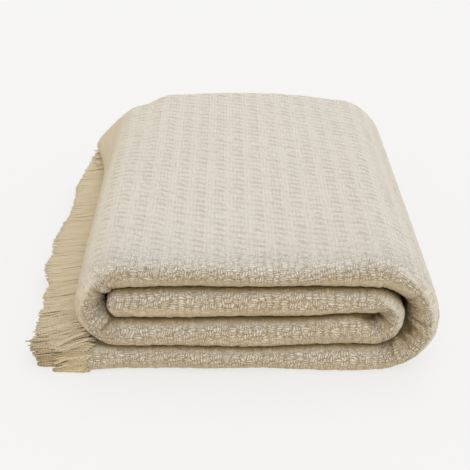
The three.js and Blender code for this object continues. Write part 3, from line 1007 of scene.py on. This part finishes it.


# The close weave on the faces, loose slubs on the noses, painted shade in the folds and on the drawn-in
# inner bends, and fibre over all
def clothMaterial(look):
    material, wire = newMaterial("clothWeave")
    across, along, closeAndShade = wire.attribute("weave")
    fold, loose, innerBendShade = wire.attribute("lay")

    def pattern(name):
        perAcross, perAlong, detail = look["patterns"][name]
        return wire.noise(wire.vector(across * perAcross, along * perAlong, 0.0), 1.0, detail)

    wander, jolt = pattern("wander") - 0.5, pattern("jolt") - 0.5
    fibre, blotch = pattern("fibre") - 0.5, pattern("blotch") - 0.5
    grain, thread = pattern("grain") - 0.5, pattern("thread") - 0.5
    loose = (loose + blotch * loose).between(0.0, look["looseTo"])
    crest = weaveCrest(wire, across, along, look, jolt, wander) + grain * 0.85
    slub, slubTone = yarnSlubs(wire, across, along, look, wander * look["slubWander"] + jolt)

    pale = (0.2 + blotch * 0.7 + fibre * 0.6 + thread * 0.8).between()
    ground = wire.mixed(pale, look["tan"], look["cream"])
    even = (crest + blotch * 0.5 + fibre * 0.5).between()
    # Where the close weave shows, its paler colour with painted shade in its hollows; elsewhere the darker
    # loose ground, painted shade where a nose faces down and on the left side
    ground = wire.mixed(closeAndShade, ground, wire.mixed(even, look["hollowShade"], look["cream"]))
    # Painted highlight on the slubs' crowns, and painted shade in the gaps between the yarns
    crown = (slub * (0.4 + slubTone * 1.2)).between(0.3, 1.15) * loose * look["crownShare"]
    gap = (1 - slub).between(0.35, 0.85) * (1.2 - slubTone).between(0.0, 0.9) * loose * look["gapShare"]
    colour = wire.mixed(gap, wire.mixed(crown, ground, look["crown"]), look["speck"])
    # Painted shade in the folds and creases, on the drawn-in inner bends, and in the pits there
    pit = pattern("pit").between(0.45, 0.65) * innerBendShade
    toneAndPaintedShade = fold * (pattern("streak") + 0.4) * 1.2 + innerBendShade * 0.14 + pit * 0.6
    colour = wire.mixed(toneAndPaintedShade.between(), colour, look["fold"])

    height = slub * (0.6 + slubTone) * loose * 1.2 + crest * closeAndShade * (1 - loose) * 0.8
    height = height + fibre * 0.8 + blotch * 0.8 + thread * (1 - closeAndShade) * 0.6 - pit * 1.5
    normal = wire.bump(height, look["bump"], look["depth"] * mm)
    finishMaterial(wire, {**cotton, "Base Color": colour, "Normal": normal, "Sheen Weight": look["sheen"]})
    return material


yarnLook = {
    "cream": (0.69, 0.605, 0.445, 1), "shade": (0.42, 0.345, 0.22, 1),
    "twist": 3.2, "root": 20,  # length of a turn of the twist, and of the paler root
    "plies": 2,  # strokes side by side round a strand
    "bump": 0.8, "depth": 0.4, "sheen": 0.2,
}


# Twisted yarn: slanting strokes round each strand
def yarnMaterial(look):
    material, wire = newMaterial("fringeYarn")
    length, around, strandTint = wire.attribute("weave")
    twist = (length / look["twist"] + around * look["plies"]).wave() * 0.5 + 0.5
    fibre = wire.noise(wire.vector(length, around * 6, strandTint * 90), 0.8, 3.0)
    # Towards the shade colour: by chance in the fibre and by the strand's tone, with painted shade in the
    # twist's grooves; the strand's tone also holds painted shade and painted light by its place
    toneAndPaintedShade = ((1 - twist) * 0.3 + (fibre - 0.5) * 0.7 + (strandTint - 0.5)).between(-0.4, 1.0)
    toneAndPaintedShade = toneAndPaintedShade * (0.5 + 0.5 * (length / look["root"]).between())
    colour = wire.mixed(toneAndPaintedShade, look["cream"], look["shade"])
    normal = wire.bump(twist + fibre * 0.5, look["bump"], look["depth"] * mm)
    finishMaterial(wire, {**cotton, "Base Color": colour, "Normal": normal, "Sheen Weight": look["sheen"]})
    return material


studio = {
    "floor": (0.2, 0.2, 0.2, 1), "glow": 0.69, "floorHalf": 20, "floorRoughness": 0.9,
    "speck": (0.4, 0.4, 0.4, 1), "speckScale": 40.0, "speckShare": 0.04,
    "sky": (0.86, 0.86, 0.865, 1), "ground": (1.0, 0.86, 0.66, 1), "skyStrength": 0.86,
    "left": (1.35, 1.12, 0.76, 1), "front": (0.85, 0.775, 0.67, 1), "right": (1.5, 1.47, 1.42, 1),
    "leftFade": (-0.7, 0.1), "rightFade": (0.3, 0.95), "skyFade": (0.0, 0.8), "groundFade": (-0.2, 0.1),
    "sunColour": (1.0, 0.96, 0.9),
    "suns": [  # name, strength, soft angle, tilt towards the back, turn, in degrees
        ("topLight", 0.36, 50, -28, -30), ("frontLight", 1.05, 40, 42, 12),
    ],
}


def makeFloor():
    half = studio["floorHalf"]
    corners = np.array([(-half, -half, 0), (half, -half, 0), (half, half, 0), (-half, half, 0)], float)
    material, wire = newMaterial("paleFloor")
    speck = wire.noise(wire.node("ShaderNodeTexCoord", out="Object"), studio["speckScale"])
    colour = wire.mixed(speck * studio["speckShare"], studio["floor"], studio["speck"])
    finishMaterial(wire, {
        "Base Color": colour, "Roughness": studio["floorRoughness"], "Specular IOR Level": 0.0,
        "Emission Color": (1, 1, 1, 1), "Emission Strength": studio["glow"],
    })
    floor = newPiece("paleFloor", corners, [(0, 1, 2, 3)], material)
    floor.visible_diffuse = False  # the cloth's undersides take the warm ground light instead
    print("floor:", 2 * half, "m wide")


# A soft sky that is warm on the left and below, and two broad suns
def makeLight():
    world = bpy.data.worlds.new("softSky")
    bpy.context.scene.world = world
    world.use_nodes = True
    world.node_tree.nodes.clear()
    sky = Wire(world.node_tree)
    direction = sky.node("ShaderNodeTexCoord", out="Generated")
    facing = sky.node("ShaderNodeSeparateXYZ", None, {"Vector": direction})
    up = facing.output("Z")
    sides = sky.mixed(facing.between(*studio["leftFade"]), studio["left"], studio["front"])
    sides = sky.mixed(facing.between(*studio["rightFade"]), sides, studio["right"])
    upper = sky.mixed(up.between(*studio["skyFade"]), sides, studio["sky"])
    colour = sky.mixed(up.between(*studio["groundFade"]), studio["ground"], upper)
    light = sky.node("ShaderNodeBackground", None, {"Color": colour, "Strength": studio["skyStrength"]})
    sky.node("ShaderNodeOutputWorld", None, {"Surface": light})
    for name, strength, soft, tilt, turn in studio["suns"]:
        lamp = bpy.data.lights.new(name, "SUN")
        lamp.energy = strength
        lamp.angle = math.radians(soft)
        lamp.color = studio["sunColour"]
        holder = bpy.data.objects.new(name, lamp)
        holder.rotation_euler = (math.radians(tilt), 0, math.radians(turn))
        bpy.context.scene.collection.objects.link(holder)
    bpy.context.scene.view_settings.view_transform = "Standard"
    print("light:", len(studio["suns"]), "suns and a sky")


shot = {
    "target": (0.0107, -0.005, 0.046), "elevation": 24.9, "distance": 1.665, "lens": 91.9, "sensor": 36,
}


def makeCamera():
    lens = bpy.data.cameras.new("photoView")
    lens.lens = shot["lens"]
    lens.sensor_width = shot["sensor"]
    camera = bpy.data.objects.new("photoView", lens)
    tilt = math.radians(shot["elevation"])
    x, y, z = shot["target"]
    reach = shot["distance"]
    camera.location = (x, y - reach * math.cos(tilt), z + reach * math.sin(tilt))
    camera.rotation_euler = (math.pi / 2 - tilt, 0, 0)
    bpy.context.scene.collection.objects.link(camera)
    bpy.context.scene.camera = camera
    print("camera:", shot["elevation"], "degrees up,", reach, "m away")


makeCamera()
makeFloor()
makeLight()
cloth = makeCloth(clothMaterial(clothLook))
fringe = makeFringe(yarnMaterial(yarnLook))
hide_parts("cloth")
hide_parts("fringe")
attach(cloth, "root")
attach(fringe, "root")
